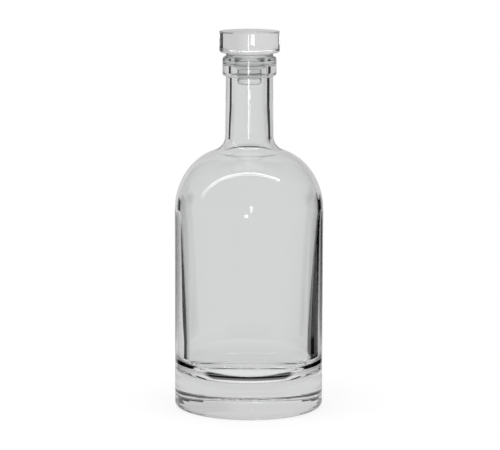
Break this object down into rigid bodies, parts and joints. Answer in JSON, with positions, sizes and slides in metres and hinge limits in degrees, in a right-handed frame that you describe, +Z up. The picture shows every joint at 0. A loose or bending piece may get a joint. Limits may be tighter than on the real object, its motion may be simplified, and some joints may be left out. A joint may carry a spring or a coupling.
{
  "type": "glass decanter",
  "caption": "Clear glass decanter for spirits: heavy-based round bottle with domed shoulders, short neck and collar, closed by a solid glass disc stopper with a soft clear seal.",
  "frame": {"origin": "on the decanter's axis, at the height of the surface it stands on", "axes": "+Z up along the axis, from the base towards the stopper; the decanter is the same all round, so +X and +Y are free"},
  "size_m": [0.092, 0.092, 0.2339],
  "materials": {
    "bottle_glass": "clear, polished",
    "stopper_glass": "clear, polished",
    "clear_seal": "clear, soft, slightly satin"
  },
  "bodies": {
    "bottle": {"bottle": "bottle_glass"},
    "stopper": {"stopper": "stopper_glass", "seal_ring": "clear_seal"}
  },
  "joints": [
    {"name": "stopper_lift", "type": "slide", "parent": "bottle", "child": "stopper", "axis": [0, 0, 1], "range_m": [0, 0.045]}
  ]
}
